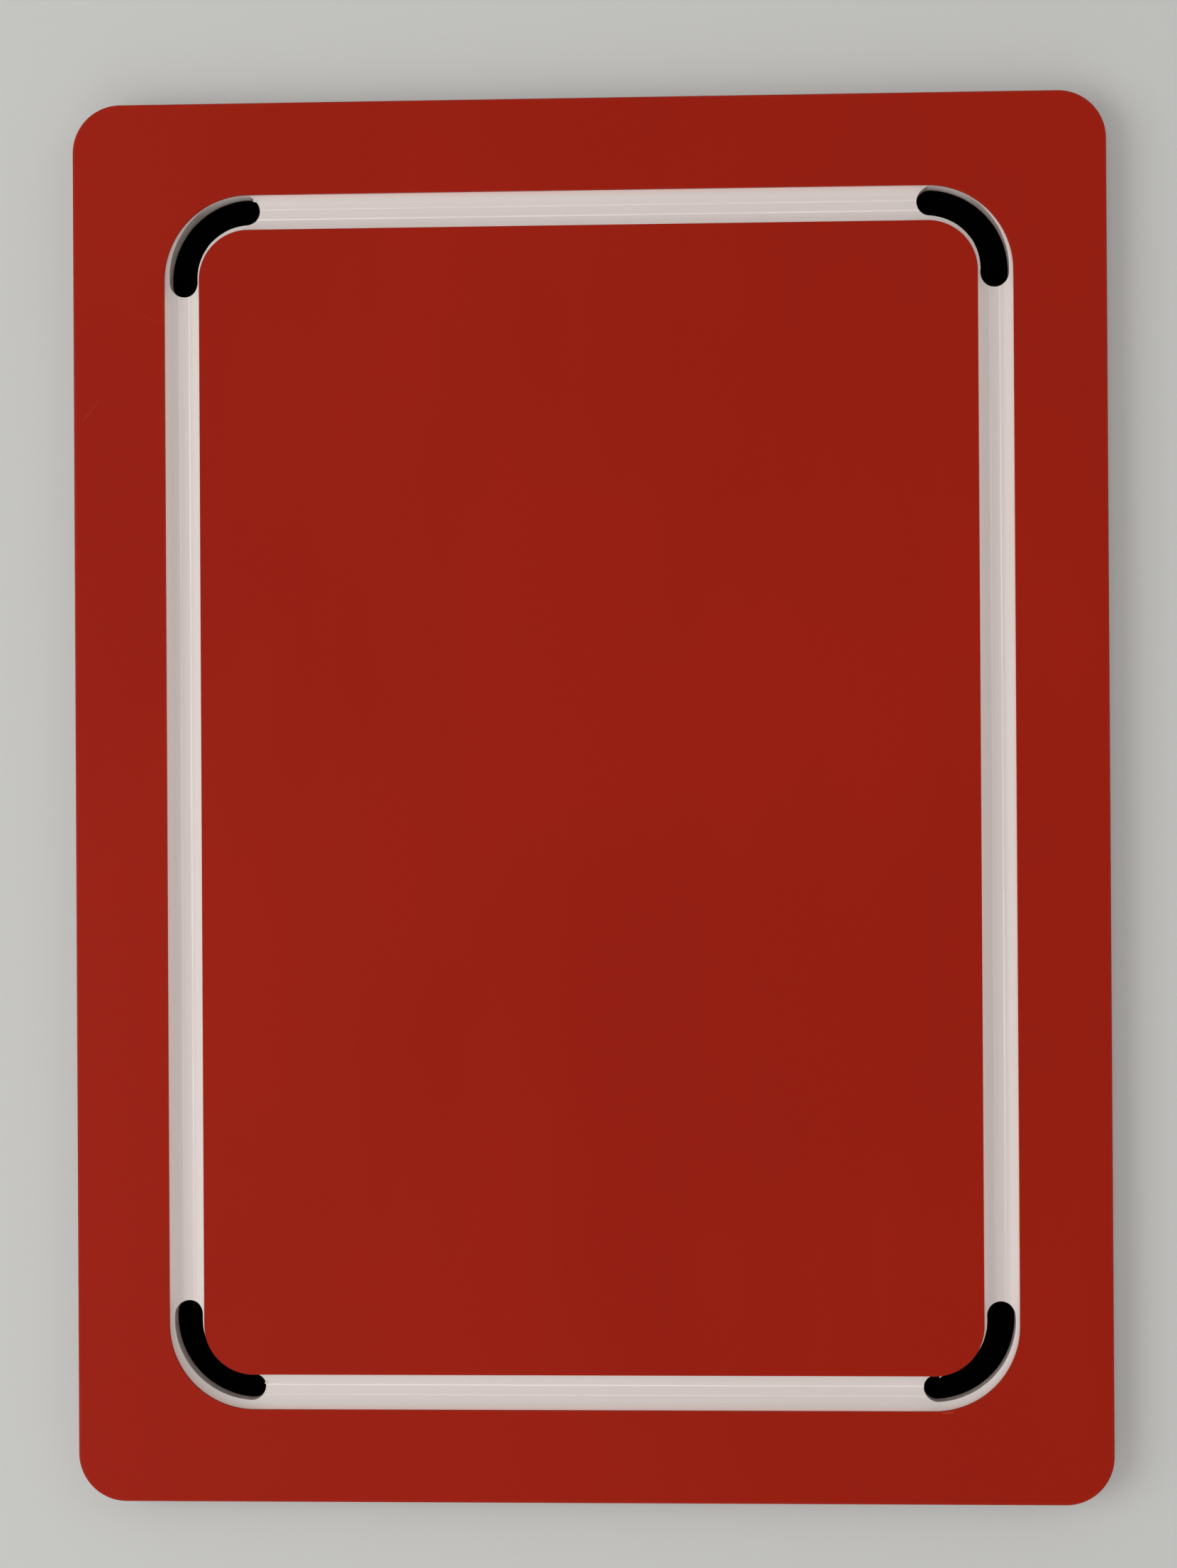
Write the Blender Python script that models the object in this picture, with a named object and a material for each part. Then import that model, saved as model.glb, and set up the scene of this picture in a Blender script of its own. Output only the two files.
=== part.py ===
# Three-layer cutting board: a white core between two red skins, with a juice groove milled
# through the top skin into the core, and a curved drain slot through the board at each
# corner of the groove. +Z is up, the length runs along Y, and the origin is the centre of
# the underside.

import math

import bmesh
import bpy
import numpy as np

# Driving dimensions, in metres.
BOARD_WIDTH = 0.280
BOARD_LENGTH = 0.380
BOARD_THICKNESS = 0.010
BOARD_CORNER_RADIUS = 0.013
EDGE_RADIUS = 0.0006            # eased outer edges, top and bottom

SKIN_THICKNESS = 0.0012         # each red layer
BOND_LINE = 0.00002             # between a skin and the core

GROOVE_MARGIN = 0.025           # board edge to the groove's outer edge
GROOVE_WIDTH = 0.0095
GROOVE_DEPTH = 0.0048
GROOVE_FLOOR_WIDTH = 0.0027     # flat strip along the middle of the floor
GROOVE_BEND_RADIUS = 0.01825    # corner radius of the groove's centreline

SLOT_WIDTH = 0.0078
SLOT_SWEEP = math.radians(90)   # arc between the centres of a slot's round ends
SLOT_TURN = math.radians(3.7)   # each arc is turned towards the board's long side
SLOT_OFFSET = 0.0010            # the four slots sit this far along +Y from the groove

CUTTER_OVERRUN = 0.002          # how far cutters run past the faces they cut

CORNER_STEPS = 14               # facets in a quarter circle of an outline
FLOOR_STEPS = 7                 # facets in each rounded lower corner of the groove
EASE_STEPS = 3                  # facets in an eased edge
SLOT_STEPS = 16                 # facets along a slot's arc
SLOT_END_STEPS = 12             # facets round a slot's end

SHARP_ANGLE = math.radians(30)  # edges sharper than this are shaded as creases

RED = (0.305, 0.0152, 0.0078)
RED_ROUGHNESS = 0.45
WHITE = (0.640, 0.570, 0.545)
WHITE_ROUGHNESS = 0.40


def clear_scene():
    for obj in list(bpy.data.objects):
        bpy.data.objects.remove(obj, do_unlink=True)


def make_material(name, colour, roughness):
    material = bpy.data.materials.new(name)
    material.use_nodes = True
    shader = material.node_tree.nodes["Principled BSDF"]
    shader.inputs["Base Color"].default_value = (*colour, 1.0)
    shader.inputs["Roughness"].default_value = roughness
    shader.inputs["Metallic"].default_value = 0.0
    material.diffuse_color = (*colour, 1.0)
    return material


def rounded_rectangle(half_width, half_length, radius):
    """Points and outward normals of a rounded rectangle, anticlockwise from +X."""
    quarter = np.linspace(0.0, math.pi / 2, CORNER_STEPS + 1)
    points = []
    normals = []
    for corner, (side_x, side_y) in enumerate([(1, 1), (-1, 1), (-1, -1), (1, -1)]):
        angles = quarter + corner * math.pi / 2
        centre = np.array([side_x * (half_width - radius), side_y * (half_length - radius)])
        outward = np.column_stack([np.cos(angles), np.sin(angles)])
        points.append(centre + radius * outward)
        normals.append(outward)
    return np.concatenate(points), np.concatenate(normals)


def solid_from_rings(name, rings, closed_loop=False):
    """A closed solid skinned over rings of points; the ends are capped unless they meet."""
    bm = bmesh.new()
    rows = [[bm.verts.new(point) for point in ring] for ring in rings]
    pairs = list(zip(rows, rows[1:]))
    if closed_loop:
        pairs.append((rows[-1], rows[0]))
    else:
        bm.faces.new(rows[0])
        bm.faces.new(rows[-1])
    for row, next_row in pairs:
        for i in range(len(row)):
            j = (i + 1) % len(row)
            bm.faces.new((row[i], row[j], next_row[j], next_row[i]))
    bmesh.ops.recalc_face_normals(bm, faces=bm.faces)
    mesh = bpy.data.meshes.new(name)
    bm.to_mesh(mesh)
    bm.free()
    mesh.shade_smooth()
    mesh.set_sharp_from_angle(angle=SHARP_ANGLE)
    obj = bpy.data.objects.new(name, mesh)
    bpy.context.collection.objects.link(obj)
    return obj


def plate(name, half_width, half_length, radius, levels):
    """A plate with rounded corners; each level gives a height and the outline's inset there."""
    rings = []
    for height, inset in levels:
        outline, _ = rounded_rectangle(half_width - inset, half_length - inset, radius - inset)
        rings.append([(x, y, height) for x, y in outline])
    return solid_from_rings(name, rings)


def eased_levels(thickness, radius):
    """Levels of a plate whose upper outer edge is rounded to the given radius."""
    angles = np.linspace(0.0, math.pi / 2, EASE_STEPS + 1)
    rounded = [(thickness - radius * (1 - math.sin(a)), radius * (1 - math.cos(a))) for a in angles]
    return [(0.0, 0.0)] + rounded


def mark_as_cutter(obj):
    obj.hide_render = True
    obj.display_type = "WIRE"


def cut(obj, cutter):
    modifier = obj.modifiers.new("cut_" + cutter.name, "BOOLEAN")
    modifier.operation = "DIFFERENCE"
    modifier.solver = "EXACT"
    modifier.object = cutter


def groove_centreline():
    """Half width, half length and bend radius of the line that the groove follows."""
    inset = GROOVE_MARGIN + GROOVE_WIDTH / 2
    return BOARD_WIDTH / 2 - inset, BOARD_LENGTH / 2 - inset, GROOVE_BEND_RADIUS


def groove_section():
    """The groove's cross section: offsets from its centreline and heights, both sides."""
    bowl_radius = (GROOVE_WIDTH - GROOVE_FLOOR_WIDTH) / 2
    floor = BOARD_THICKNESS - GROOVE_DEPTH
    angles = np.linspace(0.0, math.pi / 2, FLOOR_STEPS + 1)
    offsets = GROOVE_FLOOR_WIDTH / 2 + bowl_radius * np.sin(angles)
    heights = floor + bowl_radius * (1 - np.cos(angles))
    top = BOARD_THICKNESS + CUTTER_OVERRUN
    right = list(zip(offsets, heights)) + [(GROOVE_WIDTH / 2, top)]
    left = [(-offset, height) for offset, height in reversed(right)]
    return left + right


def make_groove_cutter():
    path, normals = rounded_rectangle(*groove_centreline())
    rings = []
    for point, normal in zip(path, normals):
        ring = [(*(point + offset * normal), height) for offset, height in groove_section()]
        rings.append(ring)
    cutter = solid_from_rings("groove_cutter", rings, closed_loop=True)
    mark_as_cutter(cutter)
    return cutter


def arc(centre, radius, start, end, steps):
    """Points of an arc, its two ends included."""
    angles = np.linspace(start, end, steps + 1)
    return centre + radius * np.column_stack([np.cos(angles), np.sin(angles)])


def slot_outline():
    """A curved slot about the origin, for the +X +Y corner: two arcs and two round ends."""
    start = -SLOT_TURN
    end = start + SLOT_SWEEP
    half = SLOT_WIDTH / 2
    origin = np.zeros(2)
    start_centre, end_centre = arc(origin, GROOVE_BEND_RADIUS, start, end, 1)
    outer_side = arc(origin, GROOVE_BEND_RADIUS + half, start, end, SLOT_STEPS)
    inner_side = arc(origin, GROOVE_BEND_RADIUS - half, end, start, SLOT_STEPS)
    end_cap = arc(end_centre, half, end, end + math.pi, SLOT_END_STEPS)
    start_cap = arc(start_centre, half, start - math.pi, start, SLOT_END_STEPS)
    return np.concatenate([outer_side, end_cap[1:-1], inner_side, start_cap[1:-1]])


def make_slot_cutters():
    half_width, half_length, radius = groove_centreline()
    cutters = []
    for side_y in (1, -1):
        for side_x in (1, -1):
            centre_x = side_x * (half_width - radius)
            centre_y = side_y * (half_length - radius) + SLOT_OFFSET
            outline = [(centre_x + side_x * x, centre_y + side_y * y) for x, y in slot_outline()]
            ends = (-CUTTER_OVERRUN, BOARD_THICKNESS + CUTTER_OVERRUN)
            rings = [[(x, y, height) for x, y in outline] for height in ends]
            cutter = solid_from_rings("slot_cutter_%d" % len(cutters), rings)
            mark_as_cutter(cutter)
            cutters.append(cutter)
    return cutters


def make_core(groove_cutter, slot_cutters):
    thickness = BOARD_THICKNESS - 2 * (SKIN_THICKNESS + BOND_LINE)
    core = plate("core", BOARD_WIDTH / 2, BOARD_LENGTH / 2, BOARD_CORNER_RADIUS,
                 [(0.0, 0.0), (thickness, 0.0)])
    core.location.z = SKIN_THICKNESS + BOND_LINE
    cut(core, groove_cutter)
    for cutter in slot_cutters:
        cut(core, cutter)
    return core


def make_bottom_layer(slot_cutters):
    layer = plate("bottom_layer", BOARD_WIDTH / 2, BOARD_LENGTH / 2, BOARD_CORNER_RADIUS,
                  eased_levels(SKIN_THICKNESS, EDGE_RADIUS))
    layer.location.z = SKIN_THICKNESS
    layer.rotation_euler.x = math.pi
    for cutter in slot_cutters:
        cut(layer, cutter)
    return layer


def make_top_rim_layer(groove_cutter):
    """The part of the top skin outside the groove; the slots stop below it."""
    layer = plate("top_rim_layer", BOARD_WIDTH / 2, BOARD_LENGTH / 2, BOARD_CORNER_RADIUS,
                  eased_levels(SKIN_THICKNESS, EDGE_RADIUS))
    layer.location.z = BOARD_THICKNESS - SKIN_THICKNESS
    window = plate("rim_window_cutter", *groove_centreline(),
                   [(0.0, 0.0), (BOARD_THICKNESS + CUTTER_OVERRUN, 0.0)])
    mark_as_cutter(window)
    cut(layer, window)
    cut(layer, groove_cutter)
    return layer


def make_top_field_layer(groove_cutter):
    """The part of the top skin inside the groove: the cutting surface."""
    layer = plate("top_field_layer", *groove_centreline(), [(0.0, 0.0), (SKIN_THICKNESS, 0.0)])
    layer.location.z = BOARD_THICKNESS - SKIN_THICKNESS
    cut(layer, groove_cutter)
    return layer


def build():
    clear_scene()
    red = make_material("red_skin", RED, RED_ROUGHNESS)
    white = make_material("white_core", WHITE, WHITE_ROUGHNESS)

    groove_cutter = make_groove_cutter()
    slot_cutters = make_slot_cutters()
    core = make_core(groove_cutter, slot_cutters)
    core.data.materials.append(white)
    skins = [make_bottom_layer(slot_cutters), make_top_rim_layer(groove_cutter),
             make_top_field_layer(groove_cutter)]
    for skin in skins:
        skin.data.materials.append(red)

    board = bpy.data.objects.new("board", None)
    bpy.context.collection.objects.link(board)
    for obj in [core, *skins]:
        obj.parent = board


build()
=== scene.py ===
# The looks of a three-layer cutting board: red skins on a white core, with a milled juice
# groove and a curved drain slot at each corner. Lengths are in metres, in the frame's axes.
import math

import bmesh
import bpy
import numpy as np
from mathutils import Euler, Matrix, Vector


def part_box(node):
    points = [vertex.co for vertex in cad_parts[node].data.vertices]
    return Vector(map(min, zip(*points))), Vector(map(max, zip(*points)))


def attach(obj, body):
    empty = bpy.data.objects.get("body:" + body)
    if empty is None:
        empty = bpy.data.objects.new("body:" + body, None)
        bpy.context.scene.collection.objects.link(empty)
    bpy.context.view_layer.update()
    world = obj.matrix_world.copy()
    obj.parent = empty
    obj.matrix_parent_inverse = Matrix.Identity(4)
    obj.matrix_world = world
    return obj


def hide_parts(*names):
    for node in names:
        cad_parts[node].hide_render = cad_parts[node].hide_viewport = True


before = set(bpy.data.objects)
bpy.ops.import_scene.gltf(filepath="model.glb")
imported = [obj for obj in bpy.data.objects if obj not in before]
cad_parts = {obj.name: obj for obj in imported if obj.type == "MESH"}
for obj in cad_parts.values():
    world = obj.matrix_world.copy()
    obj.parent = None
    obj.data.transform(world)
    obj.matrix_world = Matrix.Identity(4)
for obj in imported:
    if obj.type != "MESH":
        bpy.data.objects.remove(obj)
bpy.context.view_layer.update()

print("sizes from the frame")
coreLow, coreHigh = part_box("core")
rimLow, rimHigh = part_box("top_rim_layer")
fieldLow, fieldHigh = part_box("top_field_layer")
skinLow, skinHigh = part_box("bottom_layer")

board = {
    "halfWide": coreHigh.x,
    "halfLong": coreHigh.y,
    "top": rimHigh.z,
    "cornerRadius": 0.013,
    "edgeRadius": 0.0006,      # the outer edges, top and bottom
    "cornerSteps": 28,         # facets in a quarter circle
    "sideSteps": 24,           # facets along a straight side
    "roundSteps": 6,           # facets across an eased edge
    "flatRing": 1.35,          # how far in an eased edge's last ring is, in its radii
}
groove = {
    "width": 0.0095,
    "depth": 0.0048,
    "floorWidth": 0.0027,      # the flat strip along the middle
    "bendRadius": 0.01825,     # of the centreline
    "bowlSteps": 18,
    "lipRadius": 0.00014,      # how far the red skins are eased at the groove
    "cusp": 0.00003,           # height of the ridge that the cutter leaves beside the flat strip
    "cuspWidth": 0.00022,
}
groove["halfWide"] = fieldHigh.x + groove["width"] / 2
groove["halfLong"] = fieldHigh.y + groove["width"] / 2
slots = {
    "width": 0.0078,
    "sweep": math.radians(90),
    "turn": math.radians(3.7),   # towards the long sides
    "offset": 0.0010,            # the set sits this far along +Y from the groove
    "arcSteps": 30,
    "endSteps": 22,
    "flare": 0.00022,            # chamfer at the underside
    "corners": ((1, 1), (-1, 1), (-1, -1), (1, -1)),
}
cutting = {
    "over": 0.002,               # how far a cutter runs past what it cuts
    "merge": 0.000002,           # points nearer than this are one
    "smooth": 30,                # edges that bend by more degrees are crisp
    "upright": 0.01,             # a wall's normal tips up or down by less than this
}


# a rounded rectangle: four quarter circles about the corner centres, joined by straight
# sides, anticlockwise from +X; outlines match point for point, so they can be skinned
def roundedOutline(halfWide, halfLong, radius):
    turns = np.linspace(0, np.pi / 2, board["cornerSteps"] + 1)
    along = np.linspace(0, 1, board["sideSteps"] + 1)[1:-1, None]
    quarters = []
    for k, (sx, sy) in enumerate(slots["corners"]):
        angles = turns + k * np.pi / 2
        outward = np.stack([np.cos(angles), np.sin(angles)], 1)
        middle = np.array([sx * (halfWide - radius), sy * (halfLong - radius)])
        quarters.append((middle + radius * outward, outward))
    points, outs = [], []
    for k in range(4):
        here, outward = quarters[k]
        after = quarters[(k + 1) % 4][0]
        points += [here, here[-1] + along * (after[0] - here[-1])]
        outs += [outward, np.repeat(outward[-1:], len(along), 0)]
    return np.concatenate(points), np.concatenate(outs)


# a ring of an outline at one height
def level(outline, height):
    return np.column_stack([outline, np.full(len(outline), height)])


# a ring at one height that runs inside the board's outline by an inset
def boardRing(height, inset):
    outline, _ = roundedOutline(board["halfWide"] - inset, board["halfLong"] - inset,
                                board["cornerRadius"] - inset)
    return level(outline, height)


# a ring at one height that runs outside the groove's centreline, or inside where grow is negative
def grooveRing(height, grow):
    outline, _ = roundedOutline(groove["halfWide"] + grow, groove["halfLong"] + grow,
                                groove["bendRadius"] + grow)
    return level(outline, height)


# skins a (rings, points, 3) grid with quads: neighbouring rings are joined and every ring
# closes on itself; the last ring joins the first one, or both get a flat cap
def ringMesh(name, grid, closed=False):
    rings, count = grid.shape[:2]
    index = np.arange(rings * count).reshape(rings, count)
    if closed:
        index = np.concatenate([index, index[:1]])
    here, there = index[:-1], index[1:]
    quads = np.stack([here, np.roll(here, -1, 1), np.roll(there, -1, 1), there], -1)
    faces = quads.reshape(-1, 4).tolist()
    if not closed:
        faces += [index[0, ::-1].tolist(), index[-1].tolist()]
    mesh = bpy.data.meshes.new(name)
    mesh.from_pydata(grid.reshape(-1, 3).tolist(), [], faces)
    mesh.update()
    return mesh


# puts a mesh in the scene, shaded smooth up to the given bend
def addPiece(name, mesh, sharp=cutting["smooth"]):
    mesh.shade_smooth()
    mesh.set_sharp_from_angle(angle=math.radians(sharp))
    piece = bpy.data.objects.new(name, mesh)
    bpy.context.scene.collection.objects.link(piece)
    return piece


# heights and insets across an edge rounded to a quarter circle, from the wall to the flat,
# and one more ring just inside it that keeps the flat face's shading flat
def easedEdge(top, radius):
    turns = np.linspace(0, np.pi / 2, board["roundSteps"] + 1)
    heights = top - radius * (1 - np.sin(turns))
    insets = radius * (1 - np.cos(turns))
    return list(zip(heights, insets)) + [(top, radius * board["flatRing"])]


# marks the upright faces for the materials, and makes an edge crisp where just one of its two
# faces is upright, so that a slot's wall is shaded apart from the groove's steep side
def markWalls(mesh):
    normals = np.empty(3 * len(mesh.polygons), np.float32)
    corners = np.empty(len(mesh.polygons), np.int32)
    edges = np.empty(len(mesh.loops), np.int32)
    crisp = np.empty(len(mesh.edges), bool)
    mesh.polygons.foreach_get("normal", normals)
    mesh.polygons.foreach_get("loop_total", corners)
    mesh.loops.foreach_get("edge_index", edges)
    mesh.edges.foreach_get("use_edge_sharp", crisp)
    upright = np.abs(normals[2::3]) < cutting["upright"]
    walls = np.bincount(edges, np.repeat(upright, corners), len(mesh.edges))
    mesh.edges.foreach_set("use_edge_sharp", crisp | (walls == 1))
    marks = mesh.attributes.new("upright", "FLOAT", "FACE")
    marks.data.foreach_set("value", upright.astype(np.float32))


# merges points that a cut left on top of each other and splits its many-sided faces, so that
# no stray face is left when the mesh is made of triangles
def mendCut(mesh):
    work = bmesh.new()
    work.from_mesh(mesh)
    bmesh.ops.remove_doubles(work, verts=work.verts, dist=cutting["merge"])
    bmesh.ops.dissolve_degenerate(work, edges=work.edges, dist=cutting["merge"])
    bmesh.ops.triangulate(work, faces=[face for face in work.faces if len(face.verts) > 4])
    work.to_mesh(mesh)
    work.free()


# cuts a piece with each cutter in turn
def cutAway(piece, cutters):
    for cutter in cutters:
        cut = piece.modifiers.new("cut", "BOOLEAN")
        cut.operation = "DIFFERENCE"
        cut.solver = "EXACT"
        cut.object = cutter
    graph = bpy.context.evaluated_depsgraph_get()
    mesh = bpy.data.meshes.new_from_object(piece.evaluated_get(graph))
    mendCut(mesh)
    piece.modifiers.clear()
    piece.data = mesh
    piece.data.name = piece.name
    piece.data.set_sharp_from_angle(angle=math.radians(cutting["smooth"]))
    markWalls(piece.data)


# removes cutters that have done their work
def discard(pieces):
    for piece in pieces:
        bpy.data.objects.remove(piece, do_unlink=True)


# height of the groove's floor at a distance from its centreline: flat in the middle, then a
# circle's arc that starts level and ends at the wall, no steeper than upright, with a low
# cosine ridge where the two meet
def grooveFloor(offset):
    away = np.abs(offset)
    reach = (groove["width"] - groove["floorWidth"]) / 2
    climb = min(groove["depth"], reach)
    radius = (reach ** 2 + climb ** 2) / (2 * climb)
    past = np.clip(away - groove["floorWidth"] / 2, 0, None)
    rise = radius - np.sqrt(np.maximum(radius ** 2 - past ** 2, 0))
    near = np.clip(np.abs(away - groove["floorWidth"] / 2) / groove["cuspWidth"], 0, 1)
    ridge = groove["cusp"] * (0.5 + 0.5 * np.cos(np.pi * near))
    return board["top"] - groove["depth"] + rise + ridge


# the groove's cutter: its cross section carried round the centreline on the outline's normals
def makeGrooveCutter():
    edge = groove["floorWidth"] / 2
    wall = groove["width"] / 2
    flat = np.linspace(0, edge - groove["cuspWidth"], 4)
    ridge = edge + groove["cuspWidth"] * np.linspace(-1, 1, 7)
    side = edge + (wall - edge) * np.sin(np.linspace(0, np.pi / 2, groove["bowlSteps"] + 1))
    side = side[side > ridge[-1]]
    half = np.concatenate([flat, ridge[1:], side])
    offsets = np.concatenate([-half[:0:-1], half])
    heights = grooveFloor(offsets)
    offsets = np.concatenate([[wall, -wall], offsets])
    heights = np.concatenate([[board["top"] + cutting["over"]] * 2, heights])
    path, outward = roundedOutline(groove["halfWide"], groove["halfLong"], groove["bendRadius"])
    spots = path[None] + offsets[:, None, None] * outward[None]
    tall = np.broadcast_to(heights[:, None, None], spots.shape[:2] + (1,))
    mesh = ringMesh("grooveCutter", np.concatenate([spots, tall], -1), closed=True)
    return addPiece("grooveCutter", mesh)


# a slot's outline: two arcs about the bend's centre, closed by half circles, mirrored into
# its corner; grow widens it all round
def slotOutline(corner, grow=0.0):
    start = -slots["turn"]
    end = start + slots["sweep"]
    half = slots["width"] / 2 + grow
    bend = groove["bendRadius"]
    along = np.linspace(start, end, slots["arcSteps"] + 1)
    capTurns = np.linspace(0, np.pi, slots["endSteps"] + 1)[1:-1]
    pieces = [
        (0, bend + half, along),
        (bend * np.exp(1j * end), half, end + capTurns),
        (0, bend - half, along[::-1]),
        (bend * np.exp(1j * start), half, start - np.pi + capTurns),
    ]
    points = np.concatenate([middle + radius * np.exp(1j * angles) for middle, radius, angles in pieces])
    sx, sy = corner
    x = sx * (groove["halfWide"] - bend + points.real)
    y = sy * (groove["halfLong"] - bend + points.imag) + slots["offset"]
    outline = np.stack([x, y], 1)
    return outline if sx * sy > 0 else outline[::-1]


# a slot's cutter, straight through the board, flared where it leaves the underside
def makeSlotCutter(corner):
    flare = slots["flare"]
    over = cutting["over"]
    levels = [(-over, flare + over), (flare, 0.0), (board["top"] + over, 0.0)]
    rings = [level(slotOutline(corner, grow), height) for height, grow in levels]
    return addPiece("slotCutter", ringMesh("slotCutter", np.stack(rings)))


print("white core")


# the core: the board's outline drawn straight up from skin to skin, less the groove and slots
def makeCore():
    rings = [boardRing(coreLow.z, 0.0), boardRing(coreHigh.z, 0.0)]
    core = addPiece("milled_core", ringMesh("milled_core", np.stack(rings)))
    cutters = [makeGrooveCutter()] + [makeSlotCutter(corner) for corner in slots["corners"]]
    cutAway(core, cutters)
    discard(cutters)
    return core


core = makeCore()
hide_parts("core")

print("red skins")


# the bottom skin: an outline skinned up from its eased lower edge, with the slots cut out
def makeBottomSkin():
    section = easedEdge(skinHigh.z, board["edgeRadius"])[::-1] + [(0.0, 0.0)]
    rings = [boardRing(skinHigh.z - height, inset) for height, inset in section]
    skin = addPiece("bottom_skin", ringMesh("bottom_skin", np.stack(rings)))
    cutters = [makeSlotCutter(corner) for corner in slots["corners"]]
    cutAway(skin, cutters)
    discard(cutters)
    return skin


# the rim: its section, carried round the board, goes up the outer wall, over the eased
# edge, across the top to the groove's eased lip, down the inner wall and back underneath
def makeTopRim():
    wall = groove["width"] / 2
    outer = [(rimLow.z, 0.0)] + easedEdge(board["top"], board["edgeRadius"])
    inner = easedEdge(board["top"], groove["lipRadius"])[::-1] + [(rimLow.z, 0.0)]
    rings = [boardRing(height, inset) for height, inset in outer]
    rings += [grooveRing(height, wall + inset) for height, inset in inner]
    return addPiece("top_rim", ringMesh("top_rim", np.stack(rings), closed=True))


# the cutting surface inside the groove: a plate with an eased upper edge
def makeTopField():
    wall = groove["width"] / 2
    section = [(fieldLow.z, 0.0)] + easedEdge(board["top"], groove["lipRadius"])
    rings = [grooveRing(height, -wall - inset) for height, inset in section]
    return addPiece("top_field", ringMesh("top_field", np.stack(rings)))


bottomSkin = makeBottomSkin()
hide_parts("bottom_layer")
topRim = makeTopRim()
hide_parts("top_rim_layer")
topField = makeTopField()
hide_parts("top_field_layer")
redPieces = [bottomSkin, topRim, topField]

print("burrs at the slots")

burr = {
    "thickness": 0.00009,
    "least": 0.25,               # share of the thickness where the burr is finest
    "sides": 8,
    "waves": (5, 11, 23),        # how the thickness varies round a slot
    "smooth": 80,                # in degrees, so that beads look round
}
chips = {
    "steps": 24,
    "sides": 10,
    "sunk": 0.3,                 # share of the thickness that sits in the plastic
    "least": 0.12,               # share of the thickness at the two ends
    "blunt": 0.7,                # below 1 the ends are blunter
    "lift": 0.2,                 # how far the free end stands up, in thicknesses
    # where each starts on the face, its heading in degrees, length, thickness and curl
    "far_left": ((-0.0910, 0.1641), -35, 0.0013, 0.00062, 60),
    "near_left": ((-0.0890, -0.1580), -120, 0.0009, 0.00055, -40),
    "near_right": ((0.0948, -0.1551), 205, 0.0019, 0.00046, 45),
}


# distance from the groove's centreline, positive outwards: that of a rounded rectangle
def grooveOffset(points):
    bend = groove["bendRadius"]
    beyond = np.abs(points) - [groove["halfWide"] - bend, groove["halfLong"] - bend]
    outside = np.linalg.norm(np.maximum(beyond, 0), axis=1)
    return outside + np.minimum(beyond.max(1), 0) - bend


# a bead along a path: circles of varying radius, square to the path, carried along it
def bead(path, size, sides, closed):
    if closed:
        ahead = np.roll(path, -1, 0) - np.roll(path, 1, 0)
    else:
        ahead = np.gradient(path, axis=0)
    ahead /= np.linalg.norm(ahead, axis=1, keepdims=True)
    aside = np.cross(ahead, [0, 0, 1])
    aside /= np.linalg.norm(aside, axis=1, keepdims=True)
    up = np.cross(aside, ahead)
    turns = 2 * np.pi * np.arange(sides) / sides
    ring = np.cos(turns)[:, None, None] * up + np.sin(turns)[:, None, None] * aside
    return (path + size[:, None] * ring).transpose(1, 0, 2)


# a thin burr along the slot's upper edge, where the slot's wall meets the groove's floor;
# its thickness is a sum of sines round the slot
def makeBurr(corner, number):
    outline = slotOutline(corner)
    heights = np.minimum(grooveFloor(grooveOffset(outline)), coreHigh.z - burr["thickness"])
    path = np.column_stack([outline, heights])
    t = 2 * np.pi * np.arange(len(path)) / len(path)
    waves = sum(np.sin(k * t + number * k) for k in burr["waves"]) / len(burr["waves"])
    size = burr["thickness"] * (burr["least"] + (1 - burr["least"]) * (0.5 + 0.5 * waves) ** 2)
    mesh = ringMesh("slot_burr", bead(path, size, burr["sides"], True), closed=True)
    return addPiece("slot_burr_%d" % number, mesh, burr["smooth"])


# a chip that the cutter left hanging: a short bead that bends evenly as it goes, thickest
# near its root and fine at both ends
def makeChip(name, root, heading, length, thickness, curl):
    t = np.linspace(0, 1, chips["steps"])
    bearing = np.radians(heading + curl * t)
    step = length / (chips["steps"] - 1)
    x = root[0] + step * np.cumsum(np.cos(bearing))
    y = root[1] + step * np.cumsum(np.sin(bearing))
    bulge = np.sin(np.pi * np.sqrt(t)) ** chips["blunt"]
    size = thickness / 2 * (chips["least"] + (1 - chips["least"]) * bulge)
    base = np.minimum(grooveFloor(grooveOffset(np.column_stack([x, y]))), coreHigh.z - thickness)
    height = base + size * (1 - 2 * chips["sunk"]) + chips["lift"] * thickness * t
    path = np.column_stack([x, y, height])
    mesh = ringMesh("slot_chip", bead(path, size, chips["sides"], False))
    return addPiece("slot_chip_" + name, mesh, burr["smooth"])


burrs = [makeBurr(corner, k + 1) for k, corner in enumerate(slots["corners"])]
for name in ("far_left", "near_left", "near_right"):
    burrs.append(makeChip(name, *chips[name]))

print("materials")


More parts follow.
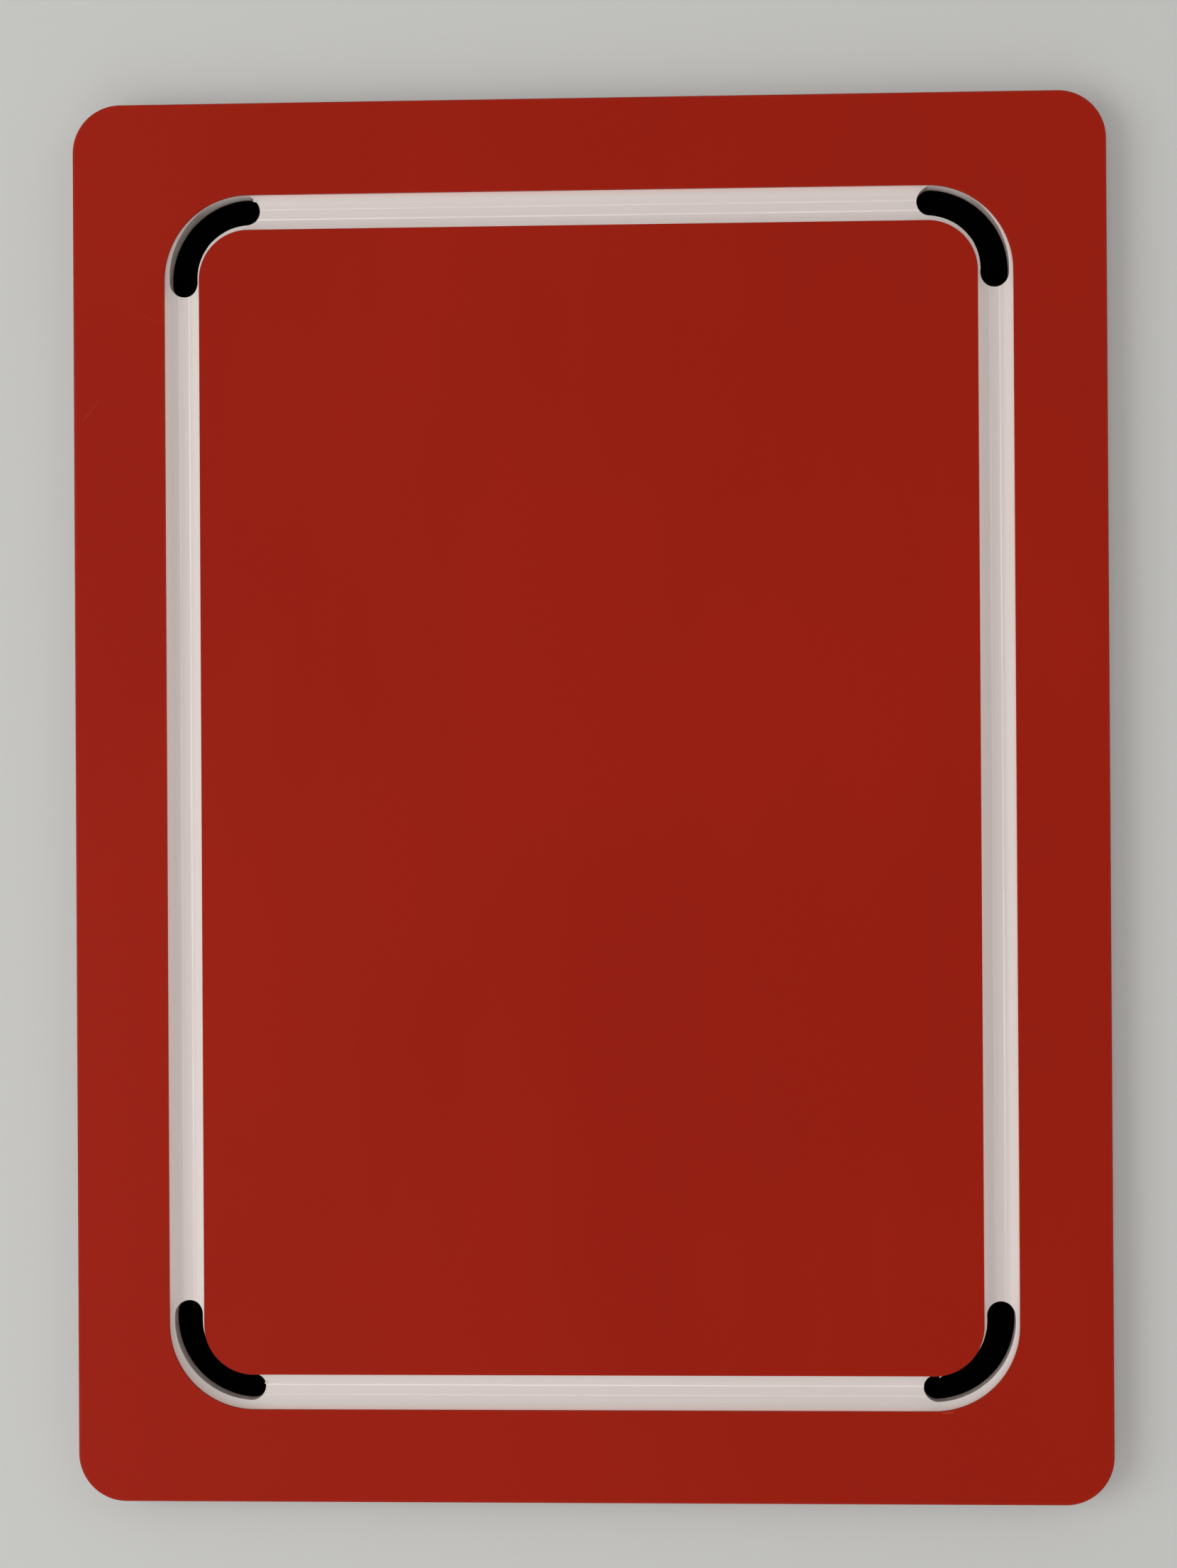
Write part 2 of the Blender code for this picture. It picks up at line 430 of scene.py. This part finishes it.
# a node socket that can be used in sums: each operator adds its Math node
class Wire:
    def __init__(self, shader, socket):
        self.shader = shader
        self.socket = socket

    def math(self, operation, *others):
        return self.shader.add("Math", {"operation": operation}, *others)

    def __add__(self, other):
        return self.math("ADD", self, other)

    def __sub__(self, other):
        return self.math("SUBTRACT", self, other)

    def __rsub__(self, other):
        return self.math("SUBTRACT", other, self)

    def __mul__(self, other):
        return self.math("MULTIPLY", self, other)

    def __neg__(self):
        return self.math("MULTIPLY", self, -1.0)

    def __pow__(self, other):
        return self.math("POWER", self, other)

    def __abs__(self):
        return self.math("ABSOLUTE", self)

    def over(self, edge):
        return self.math("GREATER_THAN", self, edge)

    def clamp(self):
        return self.math("MINIMUM", self.math("MAXIMUM", self, 0.0), 1.0)

    def atLeast(self, other):
        return self.math("MAXIMUM", self, other)

    def atMost(self, other):
        return self.math("MINIMUM", self, other)

    # goes from 0 at low to 1 at high, smoothly
    def ramp(self, low, high):
        return self.shader.add("MapRange", {"interpolation_type": "SMOOTHSTEP"}, self, low, high)

    __radd__ = __add__
    __rmul__ = __mul__


# the nodes of a material or a world, and the one method that adds any of them: type,
# settings, then the values or wires of its sockets in order, or by name
class Shader:
    def __init__(self, holder):
        self.holder = holder
        holder.use_nodes = True
        self.tree = holder.node_tree
        self.tree.nodes.clear()

    def add(self, kind, settings={}, *values, out=0, **named):
        node = self.tree.nodes.new("ShaderNode" + kind)
        for key, value in settings.items():
            setattr(node, key, value)
        pairs = list(zip(node.inputs, values))
        pairs += [(node.inputs[key.replace("_", " ")], value) for key, value in named.items()]
        for socket, value in pairs:
            if isinstance(value, Wire):
                self.tree.links.new(value.socket, socket)
            elif value is not None:
                socket.default_value = value
        return Wire(self, node.outputs[out] if node.outputs else None)

    def place(self):
        return self.add("TexCoord", out="Object")

    def split(self, vector):
        node = self.add("SeparateXYZ", {}, vector).socket.node
        return [Wire(self, socket) for socket in node.outputs]

    def vector(self, x, y, z):
        return self.add("CombineXYZ", {}, x, y, z)

    def scaled(self, vector, amounts):
        return self.add("VectorMath", {"operation": "MULTIPLY"}, vector, amounts)

    def noise(self, vector, scale, detail=2.0, rough=0.5):
        return self.add("TexNoise", {}, Vector=vector, Scale=scale, Detail=detail, Roughness=rough)

    def mix(self, share, first, second):
        node = self.add("Mix", {"data_type": "RGBA"}).socket.node
        wired = ((node.inputs["Factor"], share), (node.inputs[6], first), (node.inputs[7], second))
        for socket, value in wired:
            if isinstance(value, Wire):
                self.tree.links.new(value.socket, socket)
            else:
                socket.default_value = value
        return Wire(self, node.outputs[2])

    # distance from a rounded rectangle about the origin, positive outside it
    def outlineDistance(self, x, y, halfWide, halfLong, radius):
        dx = abs(x) - (halfWide - radius)
        dy = abs(y) - (halfLong - radius)
        ox = dx.atLeast(0.0)
        oy = dy.atLeast(0.0)
        return (ox * ox + oy * oy) ** 0.5 + dx.atLeast(dy).atMost(0.0) - radius

    # distance from a straight line between two points of the board's face
    def lineDistance(self, x, y, start, end):
        length = math.dist(start, end)
        ux, uy = (end[0] - start[0]) / length, (end[1] - start[1]) / length
        along = (x - start[0]) * ux + (y - start[1]) * uy
        across = (x - start[0]) * uy - (y - start[1]) * ux
        past = (along - length).atLeast(-along).atLeast(0.0)
        return (past * past + across * across) ** 0.5

    def finish(self, colour, roughness, relief, **fixed):
        bump = self.add("Bump", {}, Strength=1.0, Distance=1.0, Height=relief)
        surface = self.add("BsdfPrincipled", {}, Base_Color=colour, Roughness=roughness,
                           Normal=bump, **fixed)
        self.add("OutputMaterial", {}, surface)
        return self.holder


def rgb(red, green, blue):
    return (red, green, blue, 1.0)


redLook = {
    "colour": rgb(0.314, 0.0098, 0.0016),
    "shade": rgb(0.299, 0.0091, 0.0014),     # the darker clouds in the sheet
    "faded": rgb(0.44, 0.060, 0.036),         # whitened by scuffing, and at the eased edges partly a painted highlight
    "dragged": rgb(0.46, 0.38, 0.34),        # the core's white, smeared thin
    "roughness": 0.50,
    "gloss": 0.10,                           # specular level, where 0.5 is plain plastic
    "cloudScale": 7.0,
    "driftScale": (60.0, 4.0, 4.0),          # long faint bands, mixed into the clouds
    "driftShare": 0.2,
    "pebbleScale": 1500.0,                   # grains of about two thirds of a millimetre
    "pebbleHeight": 0.000010,
    "grainScale": 5200.0,
    "grainHeight": 0.0000025,
    "drawScale": (900.0, 12.0, 12.0),        # lines that rolling the sheet left lengthwise
    "drawHeight": 0.0000015,
    "speckScale": 2600.0,
    "speckShare": 0.06,
    "scuffs": ((23, 0.735), (71, 0.745), (118, 0.75), (164, 0.74)),   # direction, threshold
    "scuffScale": (5.0, 420.0, 1.0),
    "scuffPatches": 24.0,                    # scale of the patches where scuffs are seen
    "scratch": ((-0.1376, 0.1036), (-0.1331, 0.1095)),
    "scrape": ((0.0942, -0.1653), (0.0968, -0.1652)),
    "lineWidth": 0.00011,
    "wobble": 0.00012,                       # how unevenly a scratch runs
    "markDepth": 0.00001,
    "scuffWear": 0.16,                       # how much each kind of wear shows; the edge line is partly painted highlight
    "markWear": 0.55,
    "edgeWearAndHighlight": 0.5,
    "dragWidth": 0.0006,                     # how far past the groove's edge a slot may reach
}


# the red skins: a clouded, finely pebbled sheet with light wear, paler at its edges from wear and a
# painted highlight
def makeRedLook():
    s = Shader(bpy.data.materials.new("red_skin_look"))
    place = s.place()
    x, y, z = s.split(place)

    cloud = s.noise(place, redLook["cloudScale"], 3.0, 0.55)
    drift = s.noise(s.scaled(place, redLook["driftScale"]), 1.0, 2.0)
    share = redLook["driftShare"]
    tone = (cloud * (1 - share) + drift * share).ramp(0.35, 0.65)

    pebble = s.noise(place, redLook["pebbleScale"], 1.5, 0.45)
    grain = s.noise(place, redLook["grainScale"], 1.0)
    drawn = s.noise(s.scaled(place, redLook["drawScale"]), 1.0, 2.0)

    # fine scuffs: a noise squeezed into long streaks, seen only where it peaks
    scuff = None
    for angle, threshold in redLook["scuffs"]:
        turned = s.add("VectorRotate", {"rotation_type": "Z_AXIS"}, Vector=place,
                       Angle=math.radians(angle))
        streak = s.noise(s.scaled(turned, redLook["scuffScale"]), 1.0, 2.5, 0.6)
        lines = streak.ramp(threshold, threshold + 0.03)
        scuff = lines if scuff is None else scuff.atLeast(lines)
    scuff = scuff * s.noise(place, redLook["scuffPatches"], 2.0).ramp(0.5, 0.64)

    # one longer scratch on the rim and a small scrape by the groove
    wobble = (s.noise(place, 700.0, 2.0) - 0.5) * redLook["wobble"]
    width = redLook["lineWidth"]
    scratch = 1.0 - (s.lineDistance(x, y, *redLook["scratch"]) + wobble).ramp(0.0, width)
    scrape = 1.0 - (s.lineDistance(x, y, *redLook["scrape"]) + wobble * 2.0).ramp(0.0, width * 2.5)
    marks = scratch.atLeast(scrape) * z.over(rimLow.z)

    # a slightly paler line along the eased edges, broken up: partly wear, partly a painted highlight
    rim = abs(s.outlineDistance(x, y, board["halfWide"], board["halfLong"], board["cornerRadius"]))
    lip = abs(s.outlineDistance(x, y, groove["halfWide"], groove["halfLong"], groove["bendRadius"]))
    lip = lip - groove["width"] / 2
    edge = (1.0 - rim.ramp(0.0001, 0.0009)) * 0.3 + (1.0 - abs(lip).ramp(0.00003, 0.00024)) * 0.5
    edge = edge * (s.noise(place, 300.0, 3.0).ramp(0.35, 0.7) * 0.6 + 0.4)

    # on a slot's wall the cutter has dragged some of the core's white down over the red
    inSlot = (1.0 - lip.over(redLook["dragWidth"])) * (1.0 - z.over(coreLow.z))
    patchy = s.noise(s.scaled(place, (500.0, 500.0, 120.0)), 1.0, 3.0, 0.6).ramp(0.25, 0.6)
    dragged = inSlot * z.ramp(0.0, 0.00025) * (patchy * 0.35 + 0.6)

    wearAndHighlight = scuff * redLook["scuffWear"] + marks * redLook["markWear"] + edge * redLook["edgeWearAndHighlight"]
    wearAndHighlight = wearAndHighlight.clamp()
    colour = s.mix(tone, redLook["colour"], redLook["shade"])
    speck = s.noise(place, redLook["speckScale"], 1.0).ramp(0.62, 0.8) * redLook["speckShare"]
    colour = s.mix(speck, colour, redLook["faded"])
    colour = s.mix(wearAndHighlight, colour, redLook["faded"])
    colour = s.mix(dragged, colour, redLook["dragged"])
    roughness = (pebble - 0.5) * 0.10 + tone * 0.03 + wearAndHighlight * 0.15 + redLook["roughness"]
    relief = pebble * redLook["pebbleHeight"] + grain * redLook["grainHeight"]
    relief = relief + drawn * redLook["drawHeight"] - (scuff * 0.4 + marks) * redLook["markDepth"]
    return s.finish(colour, roughness, relief, Specular_IOR_Level=redLook["gloss"], IOR=1.5)


whiteLook = {
    "colour": rgb(0.758, 0.704, 0.678),
    "dull": rgb(0.692, 0.630, 0.597),
    "highlightPaint": rgb(0.970, 0.925, 0.902),      # painted highlight on the groove's two lines
    "slotWallShade": rgb(0.405, 0.364, 0.340),        # painted shade on the slots' walls
    "paintedRedBounce": rgb(0.860, 0.590, 0.550),       # painted red bounce light on the white beside the red skins
    "red": rgb(0.40, 0.09, 0.07),            # smeared from the skins by the cutter
    "roughness": 0.38,
    "gloss": 0.35,
    "highlightLineWidth": 0.00032,
    "innerShine": 1.0,                       # how strong each of the two painted highlight lines is
    "outerShine": 0.5,
    "fadeFrom": -0.140,                      # the painted highlight lines fade on the sides from here on,
    "fadeTo": -0.060,                        # and are whole again from here, along Y
    "fadeShare": 0.75,
    "paintedRedBounceFrom": 0.0008,                     # the painted red bounce light starts this far from the groove's edge
    "paintedRedBounceShare": 0.55,
    "lineScale": (5200.0, 14.0),             # across and along the groove
    "lineHeight": 0.0000030,
    "broadScale": (900.0, 6.0),
    "broadHeight": 0.000004,
    "chatterScale": (1300.0, 1300.0, 60.0),  # upright marks on the routed walls
    "chatterHeight": 0.000014,
    "rippleScale": (260.0, 260.0, 900.0),
    "rippleHeight": 0.000004,
    "smearScale": (420.0, 420.0, 2600.0),
    "smearReach": 0.0004,                    # how far red is smeared from a skin
    "smearShare": 0.5,
    "edgeBlend": 0.0001,                     # softness of the groove's own boundary
}


# the white core: milling lines and two painted highlight lines along the groove, a painted red bounce
# tint beside the red skins, rough routed walls with painted shade in the slots
def makeWhiteLook():
    s = Shader(bpy.data.materials.new("white_core_look"))
    place = s.place()
    x, y, z = s.split(place)
    wall = s.add("Attribute", {"attribute_name": "upright"}, out="Fac")

    offset = s.outlineDistance(x, y, groove["halfWide"], groove["halfLong"], groove["bendRadius"])
    reach = groove["width"] / 2
    blend = whiteLook["edgeBlend"]
    inGroove = 1.0 - abs(offset).ramp(reach - blend, reach + blend)

    # lines along the groove: a noise that runs fast across it and slowly along it
    across, along = whiteLook["lineScale"]
    lines = s.noise(s.vector(offset * across, x * along, y * along), 1.0, 3.0, 0.6)
    across, along = whiteLook["broadScale"]
    broad = s.noise(s.vector(offset * across, x * along, y * along), 1.0, 2.0)
    flat = groove["floorWidth"] / 2
    fade = s.noise(s.vector(x * 22.0, y * 22.0, 0.0), 1.0, 2.0).ramp(0.3, 0.65) * 0.45 + 0.6
    sides = abs(x).over(groove["halfWide"] - reach)
    faded = sides * (1.0 - y.ramp(whiteLook["fadeFrom"], whiteLook["fadeTo"]))
    fade = fade * (1.0 - faded * whiteLook["fadeShare"])
    # two painted highlight lines where the flat strip meets the bowl
    inner = 1.0 - abs(offset + flat).ramp(0.0, whiteLook["highlightLineWidth"])
    outer = 1.0 - abs(offset - flat).ramp(0.0, whiteLook["highlightLineWidth"])
    # along the right side the outer painted highlight line is the brighter one
    right = sides * x.over(0.0)
    innerShine = whiteLook["innerShine"]
    outerShine = whiteLook["outerShine"]
    swap = right * (innerShine - outerShine)
    highlightLines = inner * (innerShine - swap) + outer * (outerShine + swap)
    highlightLines = highlightLines * fade * inGroove * (1.0 - wall)

    chatter = s.noise(s.scaled(place, whiteLook["chatterScale"]), 1.0, 2.0, 0.6)
    ripple = s.noise(s.scaled(place, whiteLook["rippleScale"]), 1.0, 2.0)

    # red smeared from both skins onto the walls
    near = whiteLook["smearReach"]
    smear = (1.0 - (z - coreLow.z).ramp(0.0, near)).atLeast((z - coreHigh.z).ramp(-near, 0.0))
    smear = smear * s.noise(s.scaled(place, whiteLook["smearScale"]), 1.0, 3.0)
    smear = (smear * wall).ramp(0.42, 0.75) * whiteLook["smearShare"]

    dull = (1.0 - wall) * (lines * 0.5 + broad * 0.5).ramp(0.35, 0.7) * inGroove
    dull = dull * 0.35 + wall * chatter.ramp(0.4, 0.7) * 0.5
    colour = s.mix(dull, whiteLook["colour"], whiteLook["dull"])
    # the slots' walls are rougher than the board's sides, and their patchy grey is painted shade in the
    # slots
    slotWallShade = wall * inGroove * (s.noise(place, 420.0, 3.0, 0.6).ramp(0.3, 0.65) * 0.3 + 0.7)
    colour = s.mix(slotWallShade, colour, whiteLook["slotWallShade"])
    colour = s.mix(highlightLines.clamp(), colour, whiteLook["highlightPaint"])
    # painted red bounce light: a pink tint on the white that grows towards the red skins
    paintedRedBounce = abs(offset).ramp(reach - whiteLook["paintedRedBounceFrom"], reach - blend) * (1.0 - wall) * inGroove
    colour = s.mix(paintedRedBounce * whiteLook["paintedRedBounceShare"], colour, whiteLook["paintedRedBounce"])
    colour = s.mix(smear, colour, whiteLook["red"])
    roughness = lines * 0.10 * (1.0 - wall) + chatter * 0.16 * wall + whiteLook["roughness"]
    milled = lines * whiteLook["lineHeight"] + broad * whiteLook["broadHeight"]
    routed = chatter * whiteLook["chatterHeight"] + ripple * whiteLook["rippleHeight"]
    relief = milled * inGroove * (1.0 - wall) + routed * wall
    return s.finish(colour, roughness, relief, Specular_IOR_Level=whiteLook["gloss"], IOR=1.5)


redMaterial = makeRedLook()
whiteMaterial = makeWhiteLook()
for piece in redPieces:
    piece.data.materials.clear()
    piece.data.materials.append(redMaterial)
for piece in [core] + burrs:
    piece.data.materials.clear()
    piece.data.materials.append(whiteMaterial)
for piece in redPieces + [core] + burrs:
    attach(piece, "root")

print("stage, light and camera")

stage = {
    "floorSize": 40.0,
    "floorDrop": 0.0003,         # below the underside
    "floorColour": rgb(0.560, 0.558, 0.545),
    "cardInset": 0.012,          # the dark card under the board, seen through the slots
    "cardDrop": 0.0001,
    "cardColour": rgb(0.0006, 0.0006, 0.0006),
    "touching": 0.0007,          # what is nearer than this gets light through the sheets
    "skyLow": 0.81,              # brightness of the soft light all round
    "skyHigh": 0.14,             # straight above, where the camera stands
}


# a flat sheet of the stage, seen from above only; it also lets light through to what lies
# almost on it, so that the board's underside is lit when it is looked at from below
def makeSheet(name, halfWide, halfLong, height, colour):
    corners = np.array([(-1, -1), (1, -1), (1, 1), (-1, 1)]) * [halfWide, halfLong]
    mesh = bpy.data.meshes.new(name)
    mesh.from_pydata(level(corners, height).tolist(), [], [(0, 1, 2, 3)])
    sheet = bpy.data.objects.new(name, mesh)
    bpy.context.scene.collection.objects.link(sheet)
    s = Shader(bpy.data.materials.new(name + "_look"))
    paint = s.add("BsdfDiffuse", {}, Color=colour)
    clear = s.add("BsdfTransparent")
    under = s.add("NewGeometry", out="Backfacing")
    touching = 1.0 - s.add("LightPath", out="Ray Length").over(stage["touching"])
    s.add("OutputMaterial", {}, s.add("MixShader", {}, under.atLeast(touching), paint, clear))
    mesh.materials.append(s.holder)


makeSheet("floor", stage["floorSize"], stage["floorSize"], -stage["floorDrop"], stage["floorColour"])
makeSheet("dark_card", board["halfWide"] - stage["cardInset"], board["halfLong"] - stage["cardInset"],
          -stage["cardDrop"], stage["cardColour"])

scene = bpy.context.scene
sky = Shader(bpy.data.worlds.new("studio"))
height = sky.split(sky.add("TexCoord", out="Generated"))[2]
glow = height.ramp(0.76, 0.98) * (stage["skyHigh"] - stage["skyLow"]) + stage["skyLow"]
sky.add("OutputWorld", {}, sky.add("Background", {}, rgb(1.0, 1.0, 0.99), glow))
scene.world = sky.holder

lamps = {
    "left": {"spot": (-1.10, -0.10, 1.20), "size": 1.3, "watts": 10.0},
    "right": {"spot": (1.20, 0.70, 1.45), "size": 1.4, "watts": 2.0},
    "front": {"spot": (-0.30, -1.40, 1.35), "size": 1.3, "watts": 3.0},
}


# a round soft lamp that points at the origin
def makeLamp(name, spot, size, watts):
    lamp = bpy.data.lights.new(name, "AREA")
    lamp.shape = "DISK"
    lamp.size = size
    lamp.energy = watts
    holder = bpy.data.objects.new(name, lamp)
    holder.location = spot
    holder.rotation_euler = (-Vector(spot)).to_track_quat("-Z", "Y").to_euler()
    scene.collection.objects.link(holder)


for name, lampSettings in lamps.items():
    makeLamp(name, **lampSettings)

view = {
    "spot": (0.0485, -0.0005, 0.9374),   # above the middle of the board's top face
    "turn": (0.273, 2.971, -0.333),      # degrees
    "lens": 79.75,
}
camera = bpy.data.objects.new("camera", bpy.data.cameras.new("camera"))
camera.location = Vector(view["spot"]) + Vector((0.0, 0.0, board["top"]))
camera.rotation_euler = Euler([math.radians(angle) for angle in view["turn"]])
camera.data.lens = view["lens"]
camera.data.clip_end = 200.0
scene.collection.objects.link(camera)
scene.camera = camera
scene.view_settings.view_transform = "Standard"
